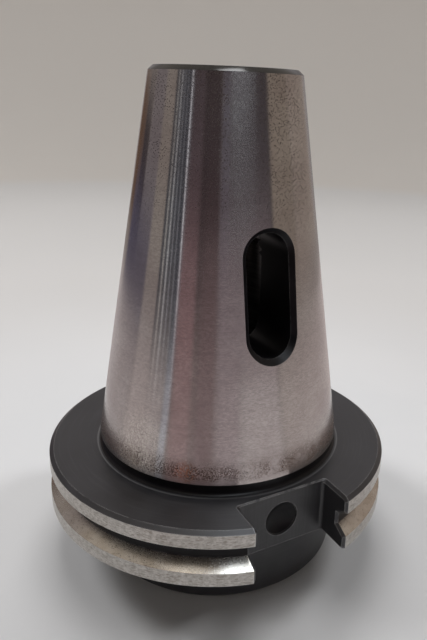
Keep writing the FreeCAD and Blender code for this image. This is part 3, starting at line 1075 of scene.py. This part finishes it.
# Glowing studio cards
# Glowing cards stand in a ring round the bench and lie on it. They light nothing and show only in the steel's
# reflections: dark ones in front, warm and pale ones at the sides, and narrow bright strips on the left. Each has
# its name, its start and end in degrees from +X towards +Y, the softness of its sides, the band of levels it covers,
# and its colour.
CARD_RING_R = 0.6
CARD_RING_TOP = 1.15
CARD_FLOOR_START = 0.12
CARD_FLOOR_LEVEL = 0.0008
CARD_FLOOR_RIM = 0.02
ALL = (-1.0, 0.5)
LYING = (-1.0, 0.010)
LOW = (0.010, 0.12)
HIGH = (0.02, 0.5)
TALL = (0.02, 0.9)
NEAR = (0.008, 0.5)
CEILING = (0.46, 0.41, 0.36, 1.0)
CARD_TOP_SOFTNESS = 0.15
CARD_FOOT_SOFTNESS = 0.003
CARDS = [
    ("ground tone", 0, 360, 2, ALL, (0.30, 0.265, 0.25, 1.0)),
    ("left, dark brown", 84, 114, 4, (0.02, 0.19), (0.13, 0.078, 0.055, 1.0)),
    ("left, black", 113, 129, 4, (0.02, 0.19), (0.040, 0.028, 0.030, 1.0)),
    ("left, grey", 129, 154, 5, HIGH, (0.24, 0.21, 0.215, 1.0)),
    ("left, violet", 104, 153, 8, (0.010, 0.085), (0.105, 0.096, 0.142, 1.0)),
    ("left, low cream", 153, 172, 6, LOW, (0.32, 0.285, 0.295, 1.0)),
    ("left, cream", 153, 172, 3, HIGH, (0.31, 0.27, 0.245, 1.0)),
    ("left, slate", 171, 200, 1, NEAR, (0.050, 0.053, 0.068, 1.0)),
    ("left, pale line", 174.5, 176.3, 0.5, NEAR, (0.46, 0.45, 0.44, 1.0)),
    ("left, pale line 2", 179.5, 181.2, 0.5, NEAR, (0.55, 0.56, 0.58, 1.0)),
    ("left, pale line 3", 184.6, 185.9, 0.5, NEAR, (0.30, 0.31, 0.34, 1.0)),
    ("left, pale line 4", 189.4, 190.6, 0.5, NEAR, (0.26, 0.27, 0.30, 1.0)),
    ("left, bright strip", 195.6, 196.9, 0.6, HIGH, (1.15, 1.17, 1.25, 1.0)),
    ("front, plum", 199, 217, 4, HIGH, (0.070, 0.055, 0.066, 1.0)),
    ("front, black", 215, 240, 6, HIGH, (0.036, 0.025, 0.031, 1.0)),
    ("front, grey", 239, 252, 4, HIGH, (0.105, 0.098, 0.125, 1.0)),
    ("front right, black", 250, 304, 5, HIGH, (0.056, 0.050, 0.058, 1.0)),
    ("front, rose", 197, 216, 6, LOW, (0.31, 0.19, 0.20, 1.0)),
    ("front, low black", 219, 243, 18, LOW, (0.19, 0.13, 0.135, 1.0)),
    ("front, low grey", 240, 300, 8, LOW, (0.265, 0.205, 0.22, 1.0)),
    ("front, high pale", 252, 290, 4, (0.5, 1.3), (2.0, 2.15, 2.3, 1.0)),
    ("right, tan", 303, 338, 5, HIGH, (0.30, 0.25, 0.21, 1.0)),
    ("right, cream", 338, 390, 6, HIGH, (0.37, 0.31, 0.27, 1.0)),
    ("back, pale", 390, 444, 16, TALL, (0.62, 0.58, 0.58, 1.0)),
    ("back, low pale", 390, 444, 16, (0.02, 0.38), (0.28, 0.255, 0.25, 1.0)),
    ("floor, left", 84, 152, 8, LYING, (0.52, 0.465, 0.46, 1.0)),
    ("floor, left cream", 152, 192, 8, LYING, (0.62, 0.555, 0.545, 1.0)),
    ("floor, left strip", 192, 198, 3, LYING, (0.62, 0.62, 0.68, 1.0)),
    ("floor, rose", 200, 219, 8, LYING, (0.42, 0.30, 0.30, 1.0)),
    ("floor, dark rose", 219, 240, 14, LYING, (0.32, 0.235, 0.24, 1.0)),
    ("floor, front", 240, 262, 10, LYING, (0.49, 0.41, 0.42, 1.0)),
    ("floor, front right", 262, 300, 12, LYING, (0.64, 0.575, 0.57, 1.0)),
    ("floor, right", 300, 444, 10, LYING, (0.56, 0.49, 0.475, 1.0)),
]
card_glow = bpy.data.materials.new("card_glow")
card_glow.use_nodes = True
tree = card_glow.node_tree
tree.nodes.remove(tree.nodes["Principled BSDF"])
glow = tree.nodes.new("ShaderNodeEmission")
tree.links.new(glow.outputs[0], tree.nodes["Material Output"].inputs["Surface"])
split = tree.nodes.new("ShaderNodeSeparateXYZ")
tree.links.new(tree.nodes.new("ShaderNodeTexCoord").outputs["Object"], split.inputs[0])
x, y, level = (Reading(tree, split.outputs[axis]) for axis in "XYZ")
azimuth = y.into("ARCTAN2", x) * (180 / math.pi)
colour = CEILING
for name, start, end, soft, (low, high), tone in CARDS:
    off = (azimuth - (start + end) / 2 + 900.0).into("FLOORED_MODULO", 360.0) - 180.0
    share = off.into("ABSOLUTE").ramp((end - start + soft) / 2, (end - start - soft) / 2)
    share = share * level.ramp(high * (1 + CARD_TOP_SOFTNESS), high * (1 - CARD_TOP_SOFTNESS))
    share = share * level.ramp(low - CARD_FOOT_SOFTNESS, low + CARD_FOOT_SOFTNESS)
    colour = blend(tree, share, colour, tone)
# Three brightly glowing patches overhead make the bright reflections in the groove's lower flank and in the small
# end's chamfer. Each has its centre, its half width and half depth, and its colour.
PATCH_SOFTNESS = (0.01, 0.02)
PATCHES = [
    ((-0.30, -0.12), (0.12, 0.18), (1.35, 1.27, 1.17, 1.0)),
    ((0.05, -0.34), (0.15, 0.21), (4.0, 4.3, 4.6, 1.0)),
    ((0.08, 0.0), (0.17, 0.09), (7.0, 7.0, 7.0, 1.0)),
]
for (centre_x, centre_y), (half_x, half_y), tone in PATCHES:
    soft_x, soft_y = PATCH_SOFTNESS
    share = (x - centre_x).into("ABSOLUTE").ramp(half_x + soft_x, half_x - soft_x)
    share = share * (y - centre_y).into("ABSOLUTE").ramp(half_y + soft_y, half_y - soft_y)
    share = share * level.above(CARD_RING_TOP - 0.05)
    colour = blend(tree, share, colour, tone)
put(tree, colour, glow.inputs["Color"])
card_outline = [
    (CARD_FLOOR_START, CARD_FLOOR_LEVEL),
    (CARD_RING_R, CARD_FLOOR_RIM),
    (CARD_RING_R, CARD_RING_TOP),
    (0.0, CARD_RING_TOP),
]
card_ring = spun("card_ring", card_outline, card_glow)
for sight in ("camera", "diffuse", "transmission", "shadow", "volume_scatter"):
    setattr(card_ring, "visible_" + sight, False)

# Lamps
# Soft panels overhead, behind and on both sides, and an even pale sky. The steel mirrors the cards, not the panels.
# Each panel has its name, place, width and depth, radiance and tint.
SKY_TINT = (0.97, 0.98, 1.0, 1.0)
SKY_STRENGTH = 0.03
PANELS = [
    ("top_panel", (0.08, 0.2, 1.0), (0.5, 0.5), 4.3, (0.98, 0.99, 1.0)),
    ("rear_panel", (0.2, 0.5, 0.9), (0.5, 0.4), 1.8, (1.0, 0.995, 0.985)),
    ("left_panel", (-0.5, 0.5, 0.72), (0.3, 0.3), 14.0, (0.98, 0.99, 1.0)),
    ("right_panel", (0.7, -0.08, 0.66), (0.22, 0.22), 17.5, (0.95, 0.975, 1.0)),
]
for name, place, (width, depth), radiance, tone in PANELS:
    lamp = bpy.data.lights.new(name, "AREA")
    lamp.shape = "RECTANGLE"
    lamp.size, lamp.size_y = width, depth
    lamp.energy = radiance * math.pi * width * depth
    lamp.color = tone
    panel = new_piece(name, lamp)
    panel.location = place
    panel.rotation_euler = (-Vector(place)).to_track_quat("-Z", "Y").to_euler()
    panel.visible_camera = False
    panel.visible_glossy = False

sky = bpy.data.worlds.new("sky")
sky.use_nodes = True
sky.node_tree.nodes["Background"].inputs["Color"].default_value = SKY_TINT
sky.node_tree.nodes["Background"].inputs["Strength"].default_value = SKY_STRENGTH
scene.world = sky
